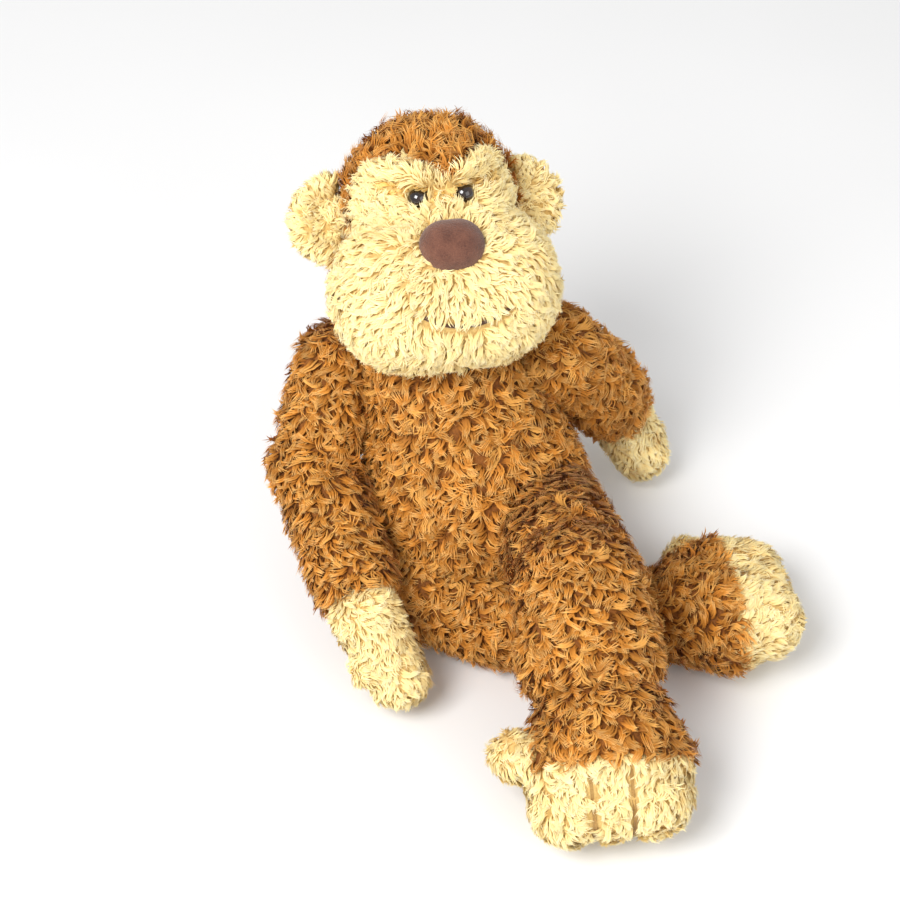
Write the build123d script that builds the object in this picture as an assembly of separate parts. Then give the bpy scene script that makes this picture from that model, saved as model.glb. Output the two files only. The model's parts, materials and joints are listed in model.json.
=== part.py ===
from build123d import *
import math
import os

# A sitting stuffed monkey. Millimetres, +Z up, the monkey faces -Y and +X is its own left.
# The origin is the middle of the flat seat under the torso, on the floor.
# "right" and "left" are the monkey's own sides. Each outer surface is the middle of the pile.

# ---- Cloth, filling and the gaps between moving pieces ----
wall = 3.5              # woven backing and packed pile together
filling_gap = 0.3       # between a cover and the filling inside it
thin = wall + filling_gap   # from the outside of a cover to the filling
joint_gap = 0.8         # between two pieces that move against each other
rim_share = 0.7         # how far before a joint its cup ends, as a share of the ball's radius

# ---- Torso ----
lean_back = 18.0
lean_side = -14.0
belly_height = 48.0
belly_radius = 54.0
neck_rise = 85.0        # from the middle of the belly to the neck, along the torso
neck_radius = 33.0
bean_bag_radius = 27.0
bean_bag_height = 12.0
bean_bag_depth = 12.0   # behind the middle of the seat
bean_bag_round = 4.0
string_ring_radius = 12.0
string_radius = 1.5
string_depth = 4.0      # below the top of the neck
pocket_radius = 16.0    # the round pocket in the neck that the drawstring lies in
pocket_depth = 8.0

# ---- Head, measured from the neck ----
head_tilt = -27.0      # the face looks up, towards someone standing in front
head_roll = 3.0
head_turn = 18.0
skull_radius = 39.0
skull_centre = (0.0, -26.0, 61.0)
muzzle_half_width = 52.0
muzzle_radius = 36.0
muzzle_centre = (0.0, -40.5, 22.0)
hairline_top = (0.0, -45.0, 94.0)
hairline_slope = 17.0   # how far the edge of the face leans back from upright, going down
neck_gap = 2.0          # between the neck and the hollow under the head

# ---- Nose, eyes and mouth ----
nose_half_width = 15.0
nose_radius = 12.0
nose_rise = 27.0        # how far up the muzzle the nose sits, in degrees
nose_sink = 0.5
nose_wall = 1.5
eye_radius = 4.8
eye_spread = 10.5
eye_rise = 2.0          # how far up the skull the eyes sit, in degrees
eye_sink = 2.2
eye_stem_radius = 1.6
eye_stem_length = 18.0
washer_radius = 6.0
washer_thickness = 1.5
washer_from_end = 2.0   # from the end of the stem to the middle of the washer
mouth_radius = 36.0
mouth_centre = (3.0, 38.0)  # sideways and up
mouth_half_angle = 33.0
stitch_width = 1.6
stitch_height = 0.8

# ---- Ears ----
ear_ring_radius = 14.0
ear_rim_radius = 6.0
ear_web = 6.0
ear_root_radius = 7.0
ear_reach = 3.0         # from the root of an ear to the middle of its ring
ear_edge = 1.0          # where the open side of the ring ends, from the root
ear_root_spread = 41.0
ear_root_height = 61.0
ear_root_depth = -20.0
ear_back_turn = 12.0
ear_wall = 2.0

# ---- Arms ----
shoulder_spread = {"right": 50.0, "left": 52.0}
shoulder_rise = {"right": 80.0, "left": 66.0}
shoulder_depth = {"right": 6.0, "left": 10.0}
shoulder_radius = 20.0
elbow_radius = 19.5
wrist_radius = 15.5
wrist_flare = 2.0       # the forearm's cup is this much wider than the hand's ball
palm_radius = 13.5
thumb_radius = 6.5
thumb_length = 17.0
thumb_start = 0.8       # its root's distance from the wrist, as a share of the wrist's radius
thumb_lean = 0.75       # how far it leans forward, against one sideways
right_elbow_at = (-80.0, -6.0, 76.0)
right_wrist_at = (-53.0, -80.0, 50.0)
right_fingers_at = (-38.0, -96.0, 23.0)
left_elbow_at = (60.0, 46.0, 80.0)
left_wrist_at = (74.0, 62.0, 44.0)
left_fingers_at = (86.0, 54.0, 22.0)

# ---- Legs ----
hip_radius = 25.0
ankle_flare = 3.0       # the shin's cup is this much wider than the foot's ball
floor_gap = 0.5
under_knee_radius = 21.0
under_ankle_radius = 22.0
over_knee_radius = 27.0
over_ankle_radius = 29.0
crossing_gap = 1.6      # between the leg on top and the leg it lies over
right_hip_at = (-33.0, -36.0)
right_knee_at = (34.0, -70.0)
right_ankle_at = (97.0, -58.0)
right_foot_at = (120.0, -54.5, 27.5)
left_hip_at = (34.0, -20.0, 56.0)
left_knee_at = (45.0, -86.0)
left_ankle_at = (55.0, -142.0, 46.0)
left_foot_at = (57.0, -158.0, 37.0)
toe_radius = 18.0
toe_spread = 18.0
toe_length = 14.0
toe_root_share = 0.6    # the toes fan out: their roots are this much closer together
instep_radius = 23.0
toe_cap_start = 2.0     # where the toe cap begins, from the middle of the foot
seam_start = 2.0        # where the stitches begin, from the edge of the toe cap
big_toe_radius = 10.5
big_toe_length = 40.0
big_toe_back = 10.0     # how far the end of the big toe lies behind the middle of the foot
instep_spread = 14.0    # the instep fans out to the width of the toes
hip_lift = 15.0         # how far the thigh on top can rise before it meets the belly
hip_swing_room = 5.0    # extra room behind the thigh underneath, at its knee

far = 400.0             # longer than the whole toy, for cutting blocks

# ---- Places that follow from the sizes above ----
side_signs = {"right": -1, "left": 1}
torso_place = Pos(0, 0, belly_height) * Rot(Y=lean_side) * Rot(X=-lean_back)
neck_place = torso_place * Pos(0, 0, neck_rise)
head_place = neck_place * Rot(Y=head_roll) * Rot(X=head_tilt) * Rot(Z=head_turn)


def spot(place, point):
    """Where a point given in a leaning frame lies in the toy's own frame."""
    return (place * Pos(*point)).position


neck = spot(torso_place, (0, 0, neck_rise))
shoulders = {}
for side, sign in side_signs.items():
    socket = (sign * shoulder_spread[side], shoulder_depth[side], shoulder_rise[side])
    shoulders[side] = spot(torso_place, socket)
elbows = {"right": Vector(right_elbow_at), "left": Vector(left_elbow_at)}
wrists = {"right": Vector(right_wrist_at), "left": Vector(left_wrist_at)}
fingers = {"right": Vector(right_fingers_at), "left": Vector(left_fingers_at)}

right_hip = Vector(*right_hip_at, hip_radius + floor_gap)
right_knee = Vector(*right_knee_at, under_knee_radius + floor_gap)
right_ankle = Vector(*right_ankle_at, under_ankle_radius + ankle_flare + floor_gap)
# The leg on top clears the one below by the sum of their radii, measured square to its slope.
crossing = under_knee_radius + over_knee_radius + crossing_gap
thigh_run = left_hip_at[1] - left_knee_at[1]
over_run = left_hip_at[1] - right_knee_at[1]
base_height = right_knee.Z - left_hip_at[2]
# Height of the knee on top for which the thigh's axis passes exactly that far above the lower leg.
left_knee_height = left_hip_at[2]
for _ in range(40):
    slope = (left_knee_height - left_hip_at[2]) / thigh_run
    needed = crossing * math.hypot(1.0, slope) + base_height
    left_knee_height = left_hip_at[2] + max(needed, 0.0) * thigh_run / over_run
left_hip = Vector(*left_hip_at)
left_knee = Vector(*left_knee_at, left_knee_height)

hips = {"right": right_hip, "left": left_hip}
knees = {"right": right_knee, "left": left_knee}
ankles = {"right": right_ankle, "left": Vector(left_ankle_at)}
feet = {"right": Vector(right_foot_at), "left": Vector(left_foot_at)}
knee_radii = {"right": under_knee_radius, "left": over_knee_radius}
ankle_radii = {"right": under_ankle_radius, "left": over_ankle_radius}
# The toes of a foot lie side by side along this direction, the big toe at its end.
toe_lines = {"right": Vector(0, 1, -0.25), "left": Vector(-1, 0.05, 0)}


# ---- Shapes ----
from_below = (Align.CENTER, Align.CENTER, Align.MIN)    # centred, and standing on the XY plane


def ball(centre, radius):
    return Pos(centre.X, centre.Y, centre.Z) * Sphere(radius)


def limb(start, start_radius, end, end_radius):
    """Two balls and the cone that touches both, as one turned solid."""
    along = end - start
    length = along.length
    lean = (start_radius - end_radius) / length
    upright = math.sqrt(1 - lean * lean)
    half = math.acos(lean) / 2
    first = (start_radius * upright, 0, start_radius * lean)
    last = (end_radius * upright, 0, length + end_radius * lean)
    low_turn = math.pi - (math.pi - 2 * half) / 2
    low_middle = (start_radius * math.sin(low_turn), 0, start_radius * math.cos(low_turn))
    high_middle = (end_radius * math.sin(half), 0, length + end_radius * math.cos(half))
    profile = make_face(
        [
            ThreePointArc((0, 0, -start_radius), low_middle, first),
            Line(first, last),
            ThreePointArc(last, high_middle, (0, 0, length + end_radius)),
            Line((0, 0, length + end_radius), (0, 0, -start_radius)),
        ]
    )
    return Plane(origin=start, z_dir=along) * revolve(profile, Axis.Z)


def wide_ball(half_width, radius):
    """A ball drawn out along X."""
    end = Vector(half_width - radius, 0, 0)
    return limb(end * -1, radius, end, radius)


def block_beyond(point, direction):
    """A block that fills everything past a point, square to a direction."""
    return Plane(origin=point, z_dir=direction) * Box(far, far, far, align=from_below)


def cupped(solid, start, joint, ball_radius):
    """Ends a solid short of a joint, hollowed so that the next piece's ball turns inside it."""
    along = (joint - start).normalized()
    rim = joint - along * (rim_share * ball_radius)
    return solid - block_beyond(rim, along) - ball(joint, ball_radius + joint_gap)


def one_solid(shape):
    """The largest solid of a shape, so that no sliver is left beside it."""
    return max(shape.solids(), key=lambda solid: solid.volume)


parts = {}


def add(name, shape):
    parts[name] = one_solid(shape)


def add_filled(name, outer, inner, filling, cover="cover"):
    """A cloth cover and the filling inside it."""
    add(f"{name}_{cover}", outer - inner)
    add(f"{name}_stuffing", filling)


# ---- Arms and legs: each segment is a ball end, a cone and a cup for the next segment ----
def add_segment(name, start, start_radius, joint, end_radius, next_radius):
    outer = cupped(limb(start, start_radius, joint, end_radius), start, joint, next_radius)
    # The filling ends one wall before the cup, so the cover is closed all round.
    inner = cupped(
        limb(start, start_radius - wall, joint, end_radius - wall),
        start, joint, next_radius + wall,
    )
    filling = cupped(
        limb(start, start_radius - thin, joint, end_radius - thin),
        start, joint, next_radius + thin,
    )
    add_filled(name, outer, inner, filling)


for side in ("right", "left"):
    shoulder, elbow, wrist = shoulders[side], elbows[side], wrists[side]
    cuff_radius = wrist_radius + wrist_flare
    add_segment(f"{side}_upper_arm", shoulder, shoulder_radius, elbow, elbow_radius, elbow_radius)
    add_segment(f"{side}_forearm", elbow, elbow_radius, wrist, cuff_radius, wrist_radius)

    # Hand: a mitten with a thumb on the side towards the torso.
    reach = (fingers[side] - wrist).normalized()
    across = reach.cross(Vector(0, 0, 1)).normalized() * -side_signs[side]
    thumb_root = wrist + reach * wrist_radius * thumb_start
    thumb_tip = thumb_root + (reach * thumb_lean + across).normalized() * thumb_length
    layers = []
    for inset in (0.0, wall, thin):
        mitten = limb(wrist, wrist_radius - inset, fingers[side], palm_radius - inset)
        thumb = limb(thumb_root, thumb_radius - inset, thumb_tip, thumb_radius - inset)
        layers.append(mitten + thumb)
    add_filled(f"{side}_hand", *layers)

    # Thigh and shin.
    hip, knee, ankle = hips[side], knees[side], ankles[side]
    knee_radius, ankle_radius = knee_radii[side], ankle_radii[side]
    add_segment(f"{side}_thigh", hip, hip_radius, knee, knee_radius, knee_radius)
    add_segment(f"{side}_shin", knee, knee_radius, ankle, ankle_radius + ankle_flare, ankle_radius)

    # Foot: a brown instep, a cream cap with three toes side by side, and a big toe. It is drawn
    # with its toes in a row along X and its sole's length along Z, then put in place.
    along = feet[side] - ankle
    line = toe_lines[side]
    row = line - along * (line.dot(along) / along.dot(along))
    foot_place = Plane(origin=feet[side], x_dir=row, z_dir=along)
    heel = Vector(0, 0, -along.length)
    layers = []
    for inset in (0.0, wall, thin, -stitch_height):
        toes = []
        for place in (-1, 0, 1):
            root = Vector(place * toe_spread * toe_root_share, 0, 0)
            tip = Vector(place * toe_spread, 0, toe_length)
            toes.append(limb(root, toe_radius - inset, tip, toe_radius - inset))
        insteps = [
            limb(heel, ankle_radius - inset, Vector(end, 0, 0), instep_radius - inset)
            for end in (-instep_spread, instep_spread)
        ]
        layers.append(insteps[0] + (insteps[1:] + toes))
    outer, inner, filling, grown = layers
    shell = one_solid(outer - inner)
    cap_edge = Vector(0, 0, toe_cap_start)
    front = block_beyond(cap_edge, Vector(0, 0, 1))
    add(f"{side}_foot_cover", foot_place * (shell - front))
    add(f"{side}_toe_cap", foot_place * (shell & front))
    add(f"{side}_foot_stuffing", foot_place * filling)
    # A row of stitches lies in each groove between two toes.
    for number, place in enumerate((-0.5, 0.5), start=1):
        seam_place = Pos(place * toe_spread, 0, toe_cap_start + seam_start)
        seam = seam_place * Box(stitch_width, far, far, align=from_below)
        add(f"{side}_toe_stitch_{number}", foot_place * ((grown & seam) - outer))
    toe_start = Vector(toe_spread * toe_root_share, 0, 0)
    toe_end = Vector(big_toe_length, 0, -big_toe_back)
    skin, hollow, kernel = [
        limb(toe_start, big_toe_radius - inset, toe_end, big_toe_radius - inset)
        for inset in (0.0, wall, thin)
    ]
    add(f"{side}_big_toe_cover", foot_place * (skin - outer - hollow))
    add(f"{side}_big_toe_stuffing", foot_place * (kernel - outer))

# ---- Torso: pear shaped, flat underneath, hollowed where the thighs and shoulders sit ----
torso_centre = spot(torso_place, (0, 0, 0))
down = Vector(0, 0, -1)


def torso_form(inset):
    room = joint_gap + inset
    form = limb(torso_centre, belly_radius - inset, neck, neck_radius - inset)
    form = form - block_beyond(Vector(0, 0, inset), down)
    thigh_room = limb(left_hip, hip_radius + room, left_knee, over_knee_radius + room)
    form = one_solid(form - thigh_room.rotate(Axis(left_hip, (-1, 0, 0)), hip_lift))
    form = one_solid(form - thigh_room)
    for side in ("right", "left"):
        arm_room = limb(shoulders[side], shoulder_radius + room, elbows[side], elbow_radius + room)
        form = one_solid(form - arm_room)
    swing_room = under_knee_radius + hip_swing_room + inset
    return one_solid(form - limb(right_hip, hip_radius + room, right_knee, swing_room))


def pocket(grow):
    """The room above the floor of the round pocket in the top of the neck."""
    floor = Pos(0, 0, neck_rise + neck_radius - pocket_depth - grow)
    return torso_place * floor * Cylinder(pocket_radius + grow, neck_radius, align=from_below)


def bag_room(grow):
    """The bag of pellets on the seat, or the room for it in the filling."""
    place = Pos(0, bean_bag_depth, thin - grow)
    return place * Cylinder(bean_bag_radius + grow, bean_bag_height + 2 * grow, align=from_below)


torso_hollow = torso_form(wall) - pocket(wall)
torso_kernel = torso_form(thin)
bag = bag_room(0.0)
string_place = torso_place * Pos(0, 0, neck_rise + neck_radius - string_depth)
add("torso_cover", torso_form(0.0) - pocket(0.0) - torso_hollow)
add("torso_stuffing", torso_kernel - pocket(thin) - bag_room(filling_gap))
add("seat_bean_bag", fillet(bag.edges(), bean_bag_round) & torso_kernel)
add("neck_drawstring", string_place * Torus(string_ring_radius, string_radius))


# ---- Head ----
def head_form(inset):
    skull = Pos(*skull_centre) * Sphere(skull_radius - inset)
    muzzle = Pos(*muzzle_centre) * wide_ball(muzzle_half_width - inset, muzzle_radius - inset)
    # Underneath it is hollowed round the neck, concentric with it, so it turns and nods freely.
    return skull + muzzle - Sphere(neck_radius + neck_gap + inset)


head_outer, head_inner = head_form(0.0), head_form(wall)
head_filling = head_form(thin)

# Ear roots sit in round dimples.
ear_roots = {
    "right": Vector(-ear_root_spread, ear_root_depth, ear_root_height),
    "left": Vector(ear_root_spread, ear_root_depth, ear_root_height),
}
for root in ear_roots.values():
    dimple_place = Pos(root.X, root.Y, root.Z) * Rot(Y=90)
    dimple_radius = ear_root_radius + joint_gap
    head_outer = one_solid(head_outer - dimple_place * Sphere(dimple_radius))
    head_inner = one_solid(head_inner - dimple_place * Sphere(dimple_radius + wall))
    head_filling = one_solid(head_filling - dimple_place * Sphere(dimple_radius + thin))

eyes, washers = {}, {}
eye_forward = math.sqrt(skull_radius**2 - eye_spread**2) - eye_sink
eye_stem = Rot(X=-90) * Cylinder(eye_stem_radius, eye_stem_length, align=from_below)
washer = Cylinder(washer_radius, washer_thickness) - Cylinder(eye_stem_radius, 2 * washer_thickness)
for side, sign in side_signs.items():
    centre = Pos(*skull_centre) * Rot(X=-eye_rise) * Pos(sign * eye_spread, -eye_forward, 0)
    centre = centre * Rot(Y=45)     # turns the ball's seam away from the cloth
    eyes[side] = centre * (Sphere(eye_radius) + eye_stem)
    washers[side] = centre * Pos(0, eye_stem_length - washer_from_end, 0) * Rot(X=90) * washer

shell = one_solid(head_outer - head_inner)
for side in eyes:
    shell = one_solid(shell - eyes[side])
    head_filling = one_solid(head_filling - eyes[side] - washers[side])

nose_place = Pos(*muzzle_centre) * Rot(X=-nose_rise) * Pos(0, nose_sink - muzzle_radius, 0)
nose_outer = nose_place * wide_ball(nose_half_width, nose_radius) - head_form(0.0)
nose_inner = nose_place * wide_ball(nose_half_width - nose_wall, nose_radius - nose_wall)
nose_thin = nose_wall + filling_gap
nose_kernel = nose_place * wide_ball(nose_half_width - nose_thin, nose_radius - nose_thin)

face_edge = Pos(*hairline_top) * Rot(X=90 + hairline_slope)
face_block = face_edge * Box(far, far, far, align=from_below)

# The mouth is a curved row of stitches that stands a little proud of the muzzle.
mouth_middle = Vector(mouth_centre[0], 0, mouth_centre[1])
mouth_ring = Cylinder(mouth_radius + stitch_width / 2, far) - Cylinder(
    mouth_radius - stitch_width / 2, far
)
smile = Pos(*mouth_middle) * Rot(X=90) * mouth_ring
for sign in side_signs.values():
    turn = math.radians(mouth_half_angle)
    smile = smile - block_beyond(mouth_middle, Vector(sign * math.cos(turn), 0, math.sin(turn)))
muzzle_place = Pos(*muzzle_centre)
muzzle = muzzle_place * wide_ball(muzzle_half_width, muzzle_radius)
raised = muzzle_place * wide_ball(muzzle_half_width + stitch_height, muzzle_radius + stitch_height)
front_half = block_beyond(Vector(*muzzle_centre), Vector(0, -1, 0))
mouth = ((raised & front_half) - muzzle) & smile

head_pieces = {
    "head_cover": shell - face_block,
    "face_cover": shell & face_block,
    "head_stuffing": head_filling,
    "mouth_stitch": mouth,
    "nose_cover": nose_outer - nose_inner,
    "nose_stuffing": nose_kernel - head_form(0.0),
    "right_eye": eyes["right"],
    "left_eye": eyes["left"],
    "right_eye_washer": washers["right"],
    "left_eye_washer": washers["left"],
}
for name, shape in head_pieces.items():
    add(name, head_place * shape)


# ---- Ears: a thick rim round a thin web, on a round root ----
def ear_form(inset):
    rim = Rot(X=90) * Torus(ear_ring_radius, ear_rim_radius - inset)
    web = Rot(X=90) * Cylinder(ear_ring_radius, ear_web - 2 * inset)
    disc = Pos(ear_reach, 0, 0) * (rim + web)
    disc = disc - block_beyond(Vector(ear_edge, 0, 0), Vector(-1, 0, 0))
    return disc + Sphere(ear_root_radius - inset)


ear_cover = one_solid(ear_form(0.0) - ear_form(ear_wall))
ear_filling = ear_form(ear_wall + filling_gap)
for side, root in ear_roots.items():
    turn = ear_back_turn if side == "left" else 180 - ear_back_turn
    place = head_place * Pos(root.X, root.Y, root.Z) * Rot(Z=turn)
    add(f"{side}_ear_cover", place * ear_cover)
    add(f"{side}_ear_stuffing", place * ear_filling)

# ---- Write one file for each piece ----
os.makedirs("parts", exist_ok=True)
for name, solid in parts.items():
    solid.label = name
    export_step(solid, f"parts/{name}.step")
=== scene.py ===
"""Looks for the sitting stuffed monkey: cloth skins, real fur strands, materials, light and camera."""

import json
import math

import bpy
import numpy as np
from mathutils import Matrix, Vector, noise
from mathutils.kdtree import KDTree


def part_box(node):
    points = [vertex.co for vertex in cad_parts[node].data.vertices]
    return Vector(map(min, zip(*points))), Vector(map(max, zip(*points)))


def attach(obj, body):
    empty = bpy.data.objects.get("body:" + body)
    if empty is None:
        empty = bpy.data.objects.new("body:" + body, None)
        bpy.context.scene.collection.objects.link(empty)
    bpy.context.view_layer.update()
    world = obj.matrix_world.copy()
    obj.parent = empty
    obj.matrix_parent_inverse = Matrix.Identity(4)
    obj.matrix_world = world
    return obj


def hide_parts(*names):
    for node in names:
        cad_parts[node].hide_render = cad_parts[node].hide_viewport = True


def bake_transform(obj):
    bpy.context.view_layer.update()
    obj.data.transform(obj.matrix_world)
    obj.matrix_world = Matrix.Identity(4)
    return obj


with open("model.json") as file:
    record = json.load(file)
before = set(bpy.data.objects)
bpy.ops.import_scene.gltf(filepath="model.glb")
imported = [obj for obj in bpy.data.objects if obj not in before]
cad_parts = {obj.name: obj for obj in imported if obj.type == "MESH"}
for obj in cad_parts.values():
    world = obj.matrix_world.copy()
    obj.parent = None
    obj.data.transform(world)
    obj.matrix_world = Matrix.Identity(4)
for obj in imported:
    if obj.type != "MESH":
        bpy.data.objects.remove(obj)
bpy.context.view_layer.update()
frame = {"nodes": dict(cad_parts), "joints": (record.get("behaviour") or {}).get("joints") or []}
nodes = frame["nodes"]
pivot = {joint["name"]: np.array(joint["pos_m"]) for joint in frame["joints"]}
rng = np.random.default_rng(7)
SIDES = ("right", "left")
MM = 0.001


# ---- Materials ----
def new_material(name):
    """A material with its shader, its output and a helper that adds linked nodes."""
    material = bpy.data.materials.new(name)
    material.use_nodes = True
    tree = material.node_tree
    shader = tree.nodes["Principled BSDF"]

    def add(kind, inputs=(), **settings):
        node = tree.nodes.new(kind)
        for key, value in settings.items():
            setattr(node, key, value)
        for socket, value in dict(inputs).items():
            if isinstance(value, bpy.types.NodeSocket):
                tree.links.new(value, node.inputs[socket])
            else:
                node.inputs[socket].default_value = value
        return node

    return material, tree, shader, add


def ramp_of(add, factor, stops):
    ramp = add("ShaderNodeValToRGB", {"Fac": factor})
    elements = ramp.color_ramp.elements
    while len(elements) < len(stops):
        elements.new(0.5)
    for element, (place, colour) in zip(elements, stops):
        element.position = place
        element.color = (*colour, 1)
    return ramp.outputs["Color"]


def fur_material(name, stops, warm, warm_share, spread, roughness, sheen):
    """Colour runs from root to tip along the map's first axis: darker at the root, partly the fur's own darker base
    and partly painted shade deep in the pile, and golden at the tip, partly the fur's lighter tips and partly
    painted highlight; each strand has its own random tone.
    """
    material, tree, shader, add = new_material(name)
    place = add("ShaderNodeUVMap", uv_map="OFBake")
    parts = add("ShaderNodeSeparateXYZ", {0: place.outputs["UV"]})
    along = ramp_of(add, parts.outputs["X"], stops)
    scaled = add("ShaderNodeMath", {0: parts.outputs["Y"], 1: 512.0}, operation="MULTIPLY")
    step = add("ShaderNodeMath", {0: scaled.outputs[0]}, operation="FLOOR")
    shade = add("ShaderNodeTexWhiteNoise", {"W": step.outputs[0]}, noise_dimensions="1D")
    value = add("ShaderNodeMapRange", {"Value": shade.outputs["Value"], "To Min": 1 - spread, "To Max": 1 + spread})
    toned = add("ShaderNodeHueSaturation", {"Color": along, "Value": value.outputs[0]})
    other = add("ShaderNodeMath", {0: step.outputs[0], 1: 0.37}, operation="ADD")
    second = add("ShaderNodeTexWhiteNoise", {"W": other.outputs[0]}, noise_dimensions="1D")
    pick = add("ShaderNodeMath", {0: second.outputs["Value"], 1: warm_share}, operation="LESS_THAN")
    share = add("ShaderNodeMath", {0: pick.outputs[0], 1: 0.55}, operation="MULTIPLY")
    mixed = add("ShaderNodeMix", data_type="RGBA")
    tree.links.new(share.outputs[0], mixed.inputs[0])
    tree.links.new(toned.outputs[0], mixed.inputs[6])
    mixed.inputs[7].default_value = (*warm, 1)
    tree.links.new(mixed.outputs[2], shader.inputs["Base Color"])
    shader.inputs["Roughness"].default_value = roughness
    shader.inputs["Sheen Weight"].default_value = sheen
    shader.inputs["Sheen Roughness"].default_value = 0.4
    shader.inputs["Specular IOR Level"].default_value = 0.3
    return material


def cloth_material(name, dark, light, scale, bump, roughness=0.9, sheen=0.3):
    """Backing cloth, velour or thread: two tones in fine noise, with a bump to match."""
    material, tree, shader, add = new_material(name)
    place = add("ShaderNodeTexCoord").outputs["Object"]
    fine = add("ShaderNodeTexNoise", {"Vector": place, "Scale": scale, "Detail": 6.0})
    broad = add("ShaderNodeTexNoise", {"Vector": place, "Scale": scale / 12, "Detail": 2.0})
    both = add("ShaderNodeMath", {0: fine.outputs["Fac"], 1: broad.outputs["Fac"]}, operation="ADD")
    half = add("ShaderNodeMath", {0: both.outputs[0], 1: 0.5}, operation="MULTIPLY")
    colour = ramp_of(add, half.outputs[0], [(0.35, dark), (0.65, light)])
    tree.links.new(colour, shader.inputs["Base Color"])
    relief = add("ShaderNodeBump", {"Height": fine.outputs["Fac"], "Strength": bump, "Distance": 0.0006})
    tree.links.new(relief.outputs[0], shader.inputs["Normal"])
    shader.inputs["Roughness"].default_value = roughness
    shader.inputs["Sheen Weight"].default_value = sheen
    return material


# Ramps from root to tip: the dark root end is partly the fur's darker base and partly painted shade deep in the
# pile; the light tip end is partly the fur's lighter tips and partly painted highlight.
BROWN_STOPS = [
    (0.0, (0.20, 0.058, 0.006)),
    (0.35, (0.37, 0.125, 0.012)),
    (0.75, (0.56, 0.22, 0.028)),
    (1.0, (0.90, 0.54, 0.18)),
]
CREAM_STOPS = [
    (0.0, (0.74, 0.49, 0.15)),
    (0.35, (0.90, 0.67, 0.27)),
    (0.75, (0.97, 0.80, 0.38)),
    (1.0, (1.00, 0.93, 0.64)),
]
# Darker, warmer ramp for the fold under each brow: painted shade in the crease.
CREASE_SHADE_STOPS = [
    (0.0, (0.45, 0.20, 0.03)),
    (0.35, (0.74, 0.42, 0.09)),
    (0.75, (0.86, 0.58, 0.18)),
    (1.0, (0.95, 0.76, 0.36)),
]
brown_fur = fur_material("brown_fur", BROWN_STOPS, (0.85, 0.44, 0.10), 0.16, 0.24, 0.75, 0.05)
cream_fur = fur_material("cream_fur", CREAM_STOPS, (0.97, 0.76, 0.34), 0.22, 0.10, 0.6, 0.08)
crease_shade_fur = fur_material("crease_shade_fur", CREASE_SHADE_STOPS, (0.93, 0.66, 0.25), 0.22, 0.12, 0.7, 0.05)
brown_cloth = cloth_material("brown_backing", (0.14, 0.042, 0.004), (0.36, 0.12, 0.014), 900, 0.6, 0.9, 0.05)
cream_cloth = cloth_material("cream_backing", (0.52, 0.31, 0.08), (0.80, 0.55, 0.20), 900, 0.6, 0.9, 0.05)
velour = cloth_material("nose_velour", (0.085, 0.026, 0.014), (0.20, 0.075, 0.042), 1400, 0.9, 0.85, 0.25)
thread = cloth_material("stitch_thread", (0.05, 0.02, 0.01), (0.16, 0.07, 0.03), 1500, 0.8, 0.7, 0.2)
toe_thread = cloth_material("toe_thread", (0.34, 0.18, 0.04), (0.52, 0.31, 0.09), 1500, 0.8, 0.7, 0.2)
string = cloth_material("drawstring", (0.25, 0.13, 0.05), (0.45, 0.26, 0.10), 1500, 0.8, 0.7, 0.2)
fibre = cloth_material("filling_fibre", (0.75, 0.75, 0.72), (0.95, 0.95, 0.93), 350, 1.0, 0.95, 0.5)
pellet = cloth_material("pellet_bag", (0.62, 0.62, 0.60), (0.90, 0.90, 0.88), 260, 1.0, 0.6, 0.1)
plastic = cloth_material("washer_plastic", (0.80, 0.80, 0.80), (0.90, 0.90, 0.90), 120, 0.1, 0.35, 0.0)


def eye_material():
    """Moulded brown-black plastic, slightly swirled under a clear gloss."""
    material, tree, shader, add = new_material("eye_gloss")
    place = add("ShaderNodeTexCoord").outputs["Object"]
    swirl = add("ShaderNodeTexNoise", {"Vector": place, "Scale": 260.0, "Detail": 3.0})
    colour = ramp_of(add, swirl.outputs["Fac"], [(0.4, (0.006, 0.003, 0.002)), (0.7, (0.035, 0.014, 0.006))])
    tree.links.new(colour, shader.inputs["Base Color"])
    shader.inputs["Roughness"].default_value = 0.06
    shader.inputs["Coat Weight"].default_value = 1.0
    return material


eye_gloss = eye_material()


# ---- Mesh tools ----
def object_from(name, points, faces, material, smooth=True):
    mesh = bpy.data.meshes.new(name)
    mesh.from_pydata([tuple(p) for p in points], [], faces)
    mesh.materials.append(material)
    mesh.update()
    if smooth:
        mesh.polygons.foreach_set("use_smooth", [True] * len(mesh.polygons))
    piece = bpy.data.objects.new(name, mesh)
    bpy.context.scene.collection.objects.link(piece)
    return piece


def points_of(mesh):
    points = np.empty(len(mesh.vertices) * 3, np.float32)
    mesh.vertices.foreach_get("co", points)
    return points.reshape(-1, 3).astype(float)


def set_points(mesh, points):
    mesh.vertices.foreach_set("co", np.asarray(points, np.float32).ravel())
    mesh.update()


def normals_of(mesh):
    found = np.empty(len(mesh.vertices) * 3, np.float32)
    mesh.vertex_normals.foreach_get("vector", found)
    return found.reshape(-1, 3).astype(float)


def ellipsoid(centre, radii, turn=None, rings=12, around=20):
    """Points and faces of a stretched ball."""
    points = [(0, 0, 1)]
    for i in range(1, rings):
        high = math.pi * i / rings
        for k in range(around):
            side = 2 * math.pi * k / around
            points.append((math.sin(high) * math.cos(side), math.sin(high) * math.sin(side), math.cos(high)))
    points.append((0, 0, -1))
    faces = [(0, 1 + k, 1 + (k + 1) % around) for k in range(around)]
    for i in range(rings - 2):
        for k in range(around):
            a, b = 1 + i * around + k, 1 + i * around + (k + 1) % around
            faces.append((a, a + around, b + around, b))
    last, start = len(points) - 1, 1 + (rings - 2) * around
    faces += [(last, start + (k + 1) % around, start + k) for k in range(around)]
    shape = np.array(points) * np.asarray(radii)
    if turn is not None:
        shape = shape @ np.asarray(turn).T
    return shape + np.asarray(centre), faces


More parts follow.
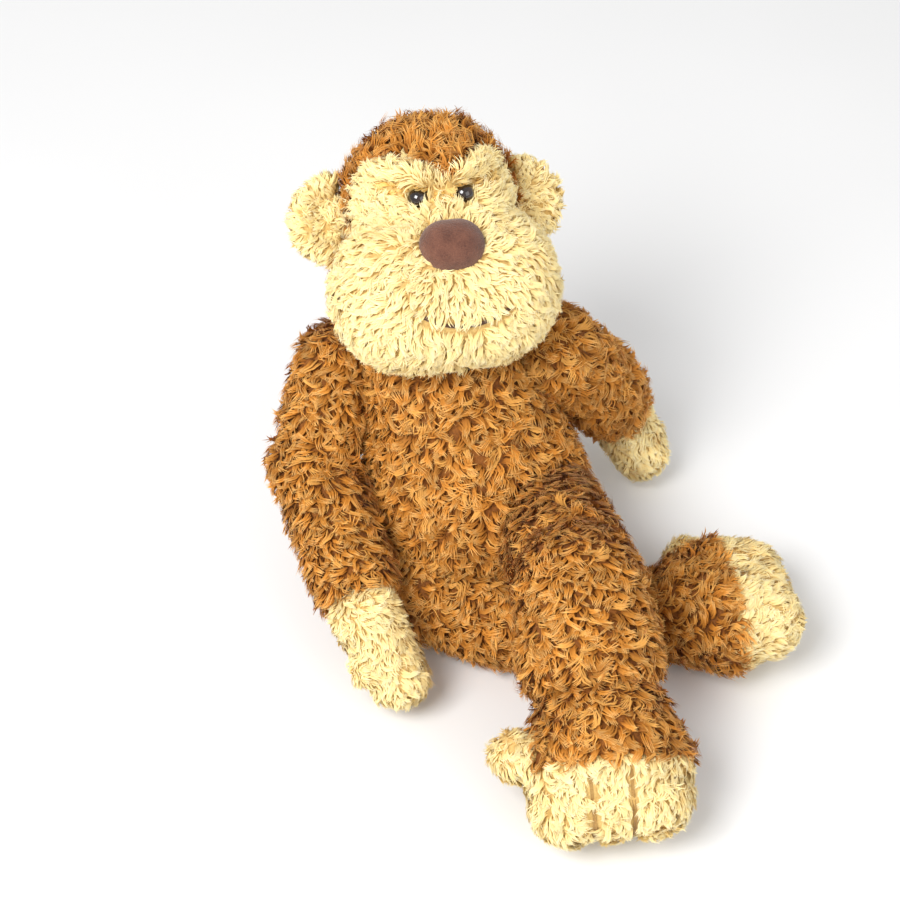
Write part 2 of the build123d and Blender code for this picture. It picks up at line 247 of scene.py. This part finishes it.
def evaluated(piece):
    """Replaces a piece's mesh by what its modifiers make of it."""
    bpy.context.view_layer.update()
    graph = bpy.context.evaluated_depsgraph_get()
    mesh = bpy.data.meshes.new_from_object(piece.evaluated_get(graph))
    piece.modifiers.clear()
    old = piece.data
    piece.data = mesh
    bpy.data.meshes.remove(old)


def edges_of(mesh):
    found = np.empty(len(mesh.edges) * 2, np.int32)
    mesh.edges.foreach_get("vertices", found)
    return found.reshape(-1, 2)


def relax(mesh, rounds):
    """Evens a surface without shrinking it, by smoothing forwards and a little back."""
    points, edges = points_of(mesh), edges_of(mesh)
    count = np.bincount(edges.ravel(), minlength=len(points))[:, None]
    for turn in range(2 * rounds):
        total = np.zeros_like(points)
        np.add.at(total, edges[:, 0], points[edges[:, 1]])
        np.add.at(total, edges[:, 1], points[edges[:, 0]])
        points += (total / np.maximum(count, 1) - points) * (0.5 if turn % 2 == 0 else -0.52)
    set_points(mesh, points)


def largest_part(points, faces):
    """Only the outer skin: the connected part with the widest reach."""
    parent = np.arange(len(points))
    pairs = np.concatenate([np.stack([faces[:, k], faces[:, (k + 1) % 4]], 1) for k in range(4)])
    while True:
        low = np.minimum(parent[pairs[:, 0]], parent[pairs[:, 1]])
        before = parent.copy()
        np.minimum.at(parent, pairs[:, 0], low)
        np.minimum.at(parent, pairs[:, 1], low)
        parent = parent[parent]
        if (before == parent).all():
            break
    labels, sizes = np.unique(parent, return_counts=True)
    keep = parent == labels[sizes.argmax()]
    place = np.cumsum(keep) - 1
    return points[keep], place[faces[keep[faces[:, 0]]]]


def skin_of(name, members, material, voxel=2.4 * MM, extras=(), rounds=4):
    """One closed cloth skin round some CAD pieces and any added forms."""
    points, faces, offset = [], [], 0
    shapes = [(points_of(nodes[n].data), [tuple(f.vertices) for f in nodes[n].data.polygons]) for n in members]
    for shape, shape_faces in [*shapes, *extras]:
        points.append(shape)
        faces += [tuple(v + offset for v in f) for f in shape_faces]
        offset += len(shape)
    piece = object_from(name, np.concatenate(points), faces, material)
    remesh = piece.modifiers.new("voxels", "REMESH")
    remesh.mode = "VOXEL"
    remesh.voxel_size = voxel
    evaluated(piece)
    flat = np.empty(len(piece.data.loops), np.int32)
    piece.data.loops.foreach_get("vertex_index", flat)
    points, faces = largest_part(points_of(piece.data), flat.reshape(-1, 4))
    mesh = bpy.data.meshes.new(name)
    mesh.from_pydata(points.tolist(), [], faces.tolist())
    mesh.materials.append(material)
    mesh.polygons.foreach_set("use_smooth", [True] * len(mesh.polygons))
    old, piece.data = piece.data, mesh
    bpy.data.meshes.remove(old)
    relax(mesh, rounds)
    return piece


def stuff(piece, cap, pressure=3.0, frames=14):
    """Blows the skin out a little as its filling does, by a short cloth simulation."""
    rest = points_of(piece.data)
    cloth = piece.modifiers.new("filling", "CLOTH")
    cloth.settings.quality = 4
    cloth.settings.mass = 0.2
    cloth.settings.use_pressure = True
    cloth.settings.uniform_pressure_force = pressure
    cloth.settings.tension_stiffness = 12
    cloth.settings.compression_stiffness = 12
    cloth.settings.effector_weights.gravity = 0
    cloth.point_cache.frame_end = frames
    scene = bpy.context.scene
    for number in range(1, frames + 1):
        scene.frame_set(number)
    evaluated(piece)
    scene.frame_set(1)
    moved = points_of(piece.data) - rest
    length = np.linalg.norm(moved, axis=1, keepdims=True)
    moved *= np.minimum(1.0, cap / np.maximum(length, 1e-9))
    set_points(piece.data, rest + moved)
    relax(piece.data, 1)


def split_off(piece, name, chosen, material):
    """Moves the faces of a skin whose middles are chosen into a skin of their own."""
    mesh = piece.data
    points = points_of(mesh)
    flat = np.empty(len(mesh.loops), np.int32)
    mesh.loops.foreach_get("vertex_index", flat)
    faces = flat.reshape(-1, 4)
    away = chosen(points[faces].mean(1))
    pieces = []
    for kept in (~away, away):
        used = np.unique(faces[kept])
        place = np.zeros(len(points), int)
        place[used] = np.arange(len(used))
        pieces.append((points[used], place[faces[kept]]))
    (left_points, left_faces), (new_points, new_faces) = pieces
    rest = bpy.data.meshes.new(piece.name)
    rest.from_pydata(left_points.tolist(), [], left_faces.tolist())
    rest.materials.append(mesh.materials[0])
    rest.polygons.foreach_set("use_smooth", [True] * len(rest.polygons))
    piece.data = rest
    bpy.data.meshes.remove(mesh)
    part = object_from(name, new_points, new_faces.tolist(), material)
    return part


# ---- Fur ----
def unit(vectors):
    return vectors / np.maximum(np.linalg.norm(vectors, axis=-1, keepdims=True), 1e-12)


def roots_on(piece, spacing, keep=None):
    """Evenly drawn points on a skin, with the surface's direction at each."""
    mesh = piece.data
    mesh.calc_loop_triangles()
    corners = np.empty(len(mesh.loop_triangles) * 3, np.int32)
    mesh.loop_triangles.foreach_get("vertices", corners)
    corners = corners.reshape(-1, 3)
    points, normals = points_of(mesh), normals_of(mesh)
    a, b, c = (points[corners[:, k]] for k in range(3))
    area = np.linalg.norm(np.cross(b - a, c - a), axis=1) / 2
    count = int(area.sum() / spacing**2)
    chosen = rng.choice(len(corners), count, p=area / area.sum())
    first, second = rng.random((2, count, 1))
    over = first + second > 1
    first, second = np.where(over, 1 - first, first), np.where(over, 1 - second, second)
    weights = (1 - first - second, first, second)
    place = sum(w * points[corners[chosen, k]] for k, w in enumerate(weights))
    out = unit(sum(w * normals[corners[chosen, k]] for k, w in enumerate(weights)))
    if keep is not None:
        kept = keep(place, out)
        place, out = place[kept], out[kept]
    return place, out


def tree_of(points):
    """Finds the nearest of some points quickly."""
    tree = KDTree(len(points))
    for number, point in enumerate(points):
        tree.insert(point, number)
    tree.balance()
    return tree


STRANDS_PER_TUFT = 8
LANES = 512


def swirl(points, scale):
    """A slowly turning direction at each point, the same for neighbours."""
    return np.array([noise.noise_vector(Vector(p) * scale) for p in points])


def grow(name, roots, comb, material, length, width, lean, curl, swirl_scale, swirl_share):
    """Real strands: flat, tapered blades that gather into curling tufts."""
    place, out = roots
    count = len(place)
    centres = rng.choice(count, max(1, count // STRANDS_PER_TUFT), replace=False)
    tree = tree_of(place[centres])
    tuft = np.array([tree.find(point)[1] for point in place])
    tufts = len(centres)
    flow = comb(place[centres], out[centres]) + swirl_share * swirl(place[centres], swirl_scale)
    flow = (flow + rng.normal(0, 0.35, (tufts, 3)))[tuft] + rng.normal(0, 0.14, (count, 3))
    flow = unit(flow - out * (flow * out).sum(1, keepdims=True))
    across = np.cross(out, flow)
    side = across * rng.choice([-1.0, 1.0], (tufts, 1))[tuft]
    long = length * rng.uniform(0.75, 1.2, (tufts, 1))[tuft] * rng.uniform(0.8, 1.1, (count, 1))
    lift = rng.uniform(0.7, 1.15, (tufts, 1))[tuft] * rng.uniform(0.85, 1.1, (count, 1))
    bend = curl * rng.uniform(0.3, 1.3, (tufts, 1))[tuft]
    inwards = place[centres][tuft] - place
    # Along the strand: how far it has risen, leaned over, curled to one side and joined its tuft.
    stations = (
        (-0.06, 0.00, 0.00, 0.00, 0.9),
        (0.36, 0.16, 0.10, 0.20, 1.1),
        (0.64, 0.52, 0.05, 0.50, 0.9),
        (0.76, 0.95, -0.35, 0.75, 0.0),
    )
    spine = [
        place + gather * inwards
        + long * (up * lift * (1 - 0.45 * lean) * out + over * lean * flow + aside * bend * side)
        for up, over, aside, gather, _ in stations
    ]
    # Nothing reaches under the floor.
    for station in spine:
        station[:, 2] = np.maximum(station[:, 2], 0.4 * MM)
    thick = width * rng.uniform(0.7, 1.25, (count, 1))
    rows = []
    for number, (_, _, _, _, size) in enumerate(stations[:-1]):
        run = unit(spine[number + 1] - spine[max(number - 1, 0)])
        edge = unit(np.cross(out, run) + 1e-6)
        rows += [spine[number] - thick * size * edge, spine[number] + thick * size * edge]
    rows.append(spine[-1])
    points = np.stack(rows, 1)
    per = points.shape[1]
    faces = [(0, 1, 3, 2), (2, 3, 5, 4), (4, 5, 6)]
    base = np.arange(count)[:, None] * per
    loops = (base + np.array(sum(faces, ()))[None, :]).ravel()
    sizes = np.tile([len(face) for face in faces], count)
    mesh = bpy.data.meshes.new(name)
    mesh.vertices.add(count * per)
    mesh.vertices.foreach_set("co", points.astype(np.float32).ravel())
    mesh.loops.add(len(loops))
    mesh.loops.foreach_set("vertex_index", loops.astype(np.int32))
    mesh.polygons.add(len(sizes))
    starts = np.concatenate([[0], np.cumsum(sizes)[:-1]])
    mesh.polygons.foreach_set("loop_start", starts.astype(np.int32))
    mesh.polygons.foreach_set("use_smooth", np.ones(len(sizes), bool))
    # Map: along the strand, and one narrow lane for each tuft's shade.
    rise = np.array([0.02, 0.02, 0.38, 0.38, 0.70, 0.70, 0.98])
    lane = rng.integers(0, LANES, (tufts, 1))[tuft] + 0.5 + 0.25 * np.array([-1, 1, -1, 1, -1, 1, 0])
    flat = np.stack([np.broadcast_to(rise, lane.shape), lane / LANES], 2).reshape(-1, 2)
    layer = mesh.uv_layers.new(name="OFBake")
    layer.uv.foreach_set("vector", flat[loops].astype(np.float32).ravel())
    mesh.materials.append(material)
    mesh.update()
    mesh.validate()
    piece = bpy.data.objects.new(name, mesh)
    bpy.context.scene.collection.objects.link(piece)
    return piece


def steady(direction):
    return lambda place, out: np.broadcast_to(np.asarray(direction, float), place.shape)


def follow(*pieces, body=None, joint=None, bodies=None, reach=10 * MM, along=None):
    """Pieces ride on one body, or else stay fixed where they stand."""
    for piece in pieces:
        if body:
            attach(piece, body)
        else:
            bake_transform(piece)


# ---- Torso ----
BROWN = dict(length=8.5 * MM, width=0.36 * MM, lean=0.75, curl=1.3, swirl_scale=150.0, swirl_share=1.6)
CREAM = dict(length=6.5 * MM, width=0.30 * MM, lean=1.0, curl=0.8, swirl_scale=110.0, swirl_share=1.2)
BROWN_SPACING = 1.05 * MM
CREAM_SPACING = 0.85 * MM


def furred(skin, kind, comb, keep=None, spacing=None, **changes):
    """The fur of one skin, in a piece of its own."""
    if kind == "brown":
        roots = roots_on(skin, spacing or BROWN_SPACING, keep)
        pile = grow(f"{skin.name}_pile", roots, comb, brown_fur, **{**BROWN, **changes})
        return pile
    roots = roots_on(skin, spacing or CREAM_SPACING, keep)
    # The "tan" kind is the fur of the fold under each brow, darker and warmer as painted shade.
    material = crease_shade_fur if kind == "tan" else cream_fur
    pile = grow(f"{skin.name}_pile", roots, comb, material, **{**CREAM, **changes})
    return pile


def stands_for(piece, *members, slot):
    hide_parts(*members)


torso = skin_of("torso", ["torso_cover", "torso_stuffing"], brown_cloth, 3.0 * MM)
stuff(torso, 2.5 * MM)
stands_for(torso, "torso_cover", slot="brown_plush")
torso_pile = furred(torso, "brown", steady((0, -0.1, -1)), spacing=1.15 * MM)
follow(torso, torso_pile, body="torso")

# ---- Arms and legs: one sleeve each ----
LIMBS = {
    "arm": ("upper_arm", "forearm", "shoulder", "elbow", "wrist"),
    "leg": ("thigh", "shin", "hip", "knee", "ankle"),
}
for side in SIDES:
    for limb, (upper, lower, first, middle, last) in LIMBS.items():
        members = [f"{side}_{part}_{what}" for part in (upper, lower) for what in ("cover", "stuffing")]
        sleeve = skin_of(f"{side}_{limb}", members, brown_cloth, rounds=8)
        stuff(sleeve, 2.0 * MM)
        stands_for(sleeve, members[0], members[2], slot="brown_plush")
        top, bend, end = (pivot[f"{side}_{name}"] for name in (first, middle, last))
        run = unit(bend - top) + unit(end - bend)

        def comb(place, out, top=top, bend=bend, end=end):
            near = np.linalg.norm(place - top, axis=1) < np.linalg.norm(place - end, axis=1)
            return np.where(near[:, None], unit(bend - top), unit(end - bend)) + np.array([0, 0, -0.5])

        pile = furred(sleeve, "brown", comb)
        follow(sleeve, pile, joint=f"{side}_{middle}", bodies=(f"{side}_{upper}", f"{side}_{lower}"),
               reach=14 * MM, along=run)

# ---- Hands and feet ----
for side in SIDES:
    members = [f"{side}_hand_cover", f"{side}_hand_stuffing"]
    hand = skin_of(f"{side}_hand", members, cream_cloth, 1.8 * MM)
    stuff(hand, 1.0 * MM)
    stands_for(hand, members[0], slot="cream_plush")
    low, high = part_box(members[0])
    reach = np.array((low + high) / 2) - pivot[f"{side}_wrist"]
    pile = furred(hand, "cream", steady(unit(reach)), length=5.5 * MM)
    follow(hand, pile, body=f"{side}_hand")

    instep_nodes = [f"{side}_foot_cover", f"{side}_foot_stuffing"]
    toe_nodes = [f"{side}_toe_cap", f"{side}_big_toe_cover", f"{side}_big_toe_stuffing"]
    foot = skin_of(f"{side}_foot", [*instep_nodes, *toe_nodes], cream_cloth, 1.8 * MM)
    stuff(foot, 1.0 * MM)
    stands_for(foot, toe_nodes[0], toe_nodes[1], slot="cream_plush")
    ankle = pivot[f"{side}_ankle"]
    cap_low, cap_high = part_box(toe_nodes[0])
    cap_middle = np.array((cap_low + cap_high) / 2)
    along = unit(cap_middle - ankle)
    cap_points = points_of(nodes[toe_nodes[0]].data) @ along
    edge = cap_points.min()
    big_low, big_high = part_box(toe_nodes[1])
    big_middle = np.array((big_low + big_high) / 2)

    def on_toes(place, out, along=along, edge=edge, big=big_middle):
        return (place @ along > edge) | (np.linalg.norm(place - big, axis=1) < 17 * MM)

    instep = split_off(foot, f"{side}_instep", lambda p: ~on_toes(p, p), brown_cloth)
    stands_for(instep, instep_nodes[0], slot="brown_plush")
    groove_points = np.concatenate([points_of(nodes[f"{side}_toe_stitch_{n}"].data) for n in (1, 2)])
    groove_tree = tree_of(groove_points)

    def off_grooves(place, out, tree=groove_tree):
        return np.array([tree.find(p)[2] > 1.4 * MM for p in place])

    brown_part = furred(instep, "brown", steady(along))
    cream_part = furred(foot, "cream", steady(along), keep=off_grooves, length=6.0 * MM)
    follow(foot, instep, brown_part, cream_part, body=f"{side}_foot")

# ---- Head ----
# The head's own frame, in metres: its left, its back and its crown, from the middle of the skull.
ear_joint = next(joint for joint in frame["joints"] if joint["name"] == "left_ear_flop")
crown = unit(np.array(ear_joint["axis"], float))
leftward = unit(pivot["left_ear_flop"] - pivot["right_ear_flop"])
backward = np.cross(crown, leftward)
head_axes = np.stack([leftward, backward, crown])
skull_middle = (pivot["left_ear_flop"] + pivot["right_ear_flop"]) / 2 - 6 * MM * backward
SKULL = 39 * MM


def in_head(place):
    return (place - skull_middle) @ head_axes.T


def from_head(local):
    return np.asarray(local) @ head_axes + skull_middle


def on_skull(across, high, proud=0.0):
    """A point on the front of the skull, seen from straight ahead."""
    depth = math.sqrt(SKULL**2 - across**2 - high**2)
    return from_head(np.array([across, -depth, high]) * (SKULL + proud) / SKULL)


head_nodes = ["head_cover", "face_cover", "head_stuffing"]
eye_middles = {}
for side in SIDES:
    eye_points = points_of(nodes[f"{side}_eye"].data)
    front = in_head(eye_points)[:, 1].argsort()[:60]
    eye_middles[side] = eye_points[front].mean(0)
# Padded brows slope down towards the nose, which gives the frown.
brows = []
for sign in (-1, 1):
    low_end, high_end = on_skull(sign * 5 * MM, 7 * MM), on_skull(sign * 27 * MM, 17 * MM)
    long_axis = unit(high_end - low_end)
    middle = on_skull(sign * 16 * MM, 12.0 * MM, 0.0)
    outward = unit(middle - skull_middle)
    upward = np.cross(outward, long_axis)
    turn = np.stack([long_axis, outward, upward], 1)
    brows.append(ellipsoid(middle, (17 * MM, 5.5 * MM, 5.0 * MM), turn))
head = skin_of("head", head_nodes, cream_cloth, 2.4 * MM, extras=brows)
stuff(head, 1.5 * MM)
stands_for(head, "face_cover", slot="cream_plush")
nose_low, nose_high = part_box("nose_cover")
nose_middle = np.array((nose_low + nose_high) / 2)
cover_points = {name: points_of(nodes[name].data) for name in ("head_cover", "face_cover")}
cloth_tree = tree_of(np.concatenate(list(cover_points.values())))
mouth_tree = tree_of(points_of(nodes["mouth_stitch"].data))


def is_hair(place):
    """Behind the CAD seam, and above a hairline that dips to a peak between the brows."""
    behind = np.array([cloth_tree.find(p)[1] < len(cover_points["head_cover"]) for p in place])
    local = in_head(place) / MM
    across = np.abs(local[:, 0])
    line = 21.0 - 13.0 * np.exp(-(((local[:, 0] - 3.0) / 11.0) ** 2)) - 0.9 * np.maximum(across - 29, 0)
    return behind | (local[:, 2] > line)


def clear_of_features(place):
    apart = np.linalg.norm(place - nose_middle, axis=1) > 13 * MM
    for middle in eye_middles.values():
        apart &= np.linalg.norm(place - middle, axis=1) > 4.2 * MM
    apart &= np.array([mouth_tree.find(p)[2] > 1.7 * MM for p in place])
    return apart


def is_crease(place):
    """The fold under each brow, which runs through the eye towards the nose, where the fur carries painted shade.
    """
    local = in_head(place) / MM
    across = np.abs(local[:, 0])
    fold = 1.0 + 0.30 * (across - 4.0)
    return (local[:, 1] < 0) & (np.abs(local[:, 2] - fold) < 3.6) & (across < 27)


def outward_from_nose(place, out):
    return unit(place - nose_middle) + np.array([0, 0, -0.25])


hair = split_off(head, "hair_cap", is_hair, brown_cloth)
stands_for(hair, "head_cover", slot="brown_plush")
face_pile = furred(
    head, "cream", outward_from_nose,
    keep=lambda p, n: clear_of_features(p) & ~is_crease(p),
)
face_pile.name = "face_pile"
# Shorter fur in the fold under each brow, in darker, warmer colours as painted shade in the crease.
crease_pile = furred(
    head, "tan", outward_from_nose,
    keep=lambda p, n: clear_of_features(p) & is_crease(p), length=3.2 * MM,
)
crease_pile.name = "crease_pile"


def ruffled(place, out):
    """Hair on the crown sweeps up and forward; at the back it hangs down."""
    high = np.clip(in_head(place)[:, 2:] / SKULL, -1, 1)
    front = np.where(in_head(place)[:, 1:2] < 8 * MM, 1.0, 0.0)
    return crown * 0.9 * front * (high > 0.3) - np.array([0, 0, 1.0]) * (1 - front)


hair_pile = furred(hair, "brown", ruffled, keep=lambda p, n: in_head(p)[:, 2] < 12 * MM)
hair_pile.name = "hair_pile"
tuft_pile = furred(
    hair, "brown", ruffled, keep=lambda p, n: in_head(p)[:, 2] >= 12 * MM,
    length=12.0 * MM, lean=0.6, curl=1.3,
)
tuft_pile.name = "tuft_pile"
follow(head, hair, face_pile, crease_pile, hair_pile, tuft_pile, body="head")

nose = skin_of("nose", ["nose_cover", "nose_stuffing"], velour, 0.9 * MM, rounds=6)
stuff(nose, 0.4 * MM)
stands_for(nose, "nose_cover", slot="nose")
follow(nose, body="head")

for side in SIDES:
    members = [f"{side}_ear_cover", f"{side}_ear_stuffing"]
    ear = skin_of(f"{side}_ear", members, cream_cloth, 1.5 * MM)
    stuff(ear, 0.8 * MM)
    stands_for(ear, members[0], slot="cream_plush")
    root = pivot[f"{side}_ear_flop"]
    pile = furred(ear, "cream", lambda p, n, root=root: unit(p - root), length=5.5 * MM)
    follow(ear, pile, body=f"{side}_ear")


# ---- CAD pieces that stay, with their own finish ----
def finish_of(name):
    if name.endswith("_eye"):
        return eye_gloss
    if name.endswith("_washer"):
        return plastic
    if name == "seat_bean_bag":
        return pellet
    if name == "neck_drawstring":
        return string
    if "toe_stitch" in name:
        return toe_thread
    if "stitch" in name:
        return thread
    return fibre


for name, piece in nodes.items():
    if name.endswith(("_eye", "_washer", "_stuffing", "bean_bag", "drawstring")) or "stitch" in name:
        piece.data.materials.clear()
        piece.data.materials.append(finish_of(name))

# ---- Floor, light and camera ----
floor_material, floor_tree, floor_shader, floor_add = new_material("floor")
grain = floor_add("ShaderNodeTexNoise", {"Scale": 30.0})
floor_colour = ramp_of(floor_add, grain.outputs["Fac"], [(0.3, (0.86, 0.86, 0.86)), (0.7, (0.88, 0.88, 0.88))])
floor_tree.links.new(floor_colour, floor_shader.inputs["Base Color"])
floor_shader.inputs["Roughness"].default_value = 0.9
floor = object_from("floor", [(-4, -4, 0), (4, -4, 0), (4, 4, 0), (-4, 4, 0)], [(0, 1, 2, 3)], floor_material)

world = bpy.data.worlds.new("studio")
world.use_nodes = True
world.node_tree.nodes["Background"].inputs["Color"].default_value = (1, 1, 1, 1)
world.node_tree.nodes["Background"].inputs["Strength"].default_value = 0.62
bpy.context.scene.world = world


def area_light(name, place, target, size, power):
    light = bpy.data.lights.new(name, "AREA")
    light.size = size
    light.energy = power
    lamp = bpy.data.objects.new(name, light)
    lamp.location = place
    lamp.rotation_euler = (Vector(target) - Vector(place)).to_track_quat("-Z", "Y").to_euler()
    bpy.context.scene.collection.objects.link(lamp)


area_light("key", (-0.6, -0.75, 1.2), (0, 0, 0.1), 0.7, 20)
area_light("fill", (0.9, -0.9, 0.8), (0, 0, 0.1), 1.0, 5)

elevation = math.radians(46)
towards = Vector((0, -math.cos(elevation), math.sin(elevation)))
picture_up = Vector((0, math.sin(elevation), math.cos(elevation)))
distance = 1.0
aim = Vector((0, -0.020, 0.080)) + Vector((-0.0134, 0, 0)) + picture_up * 0.0134
camera_data = bpy.data.cameras.new("camera")
camera_data.lens = 83.3
camera_data.sensor_width = 36
camera = bpy.data.objects.new("camera", camera_data)
camera.location = aim + towards * distance
camera.rotation_euler = (-towards).to_track_quat("-Z", "Y").to_euler()
bpy.context.scene.collection.objects.link(camera)
bpy.context.scene.camera = camera
bpy.context.scene.view_settings.view_transform = "Standard"
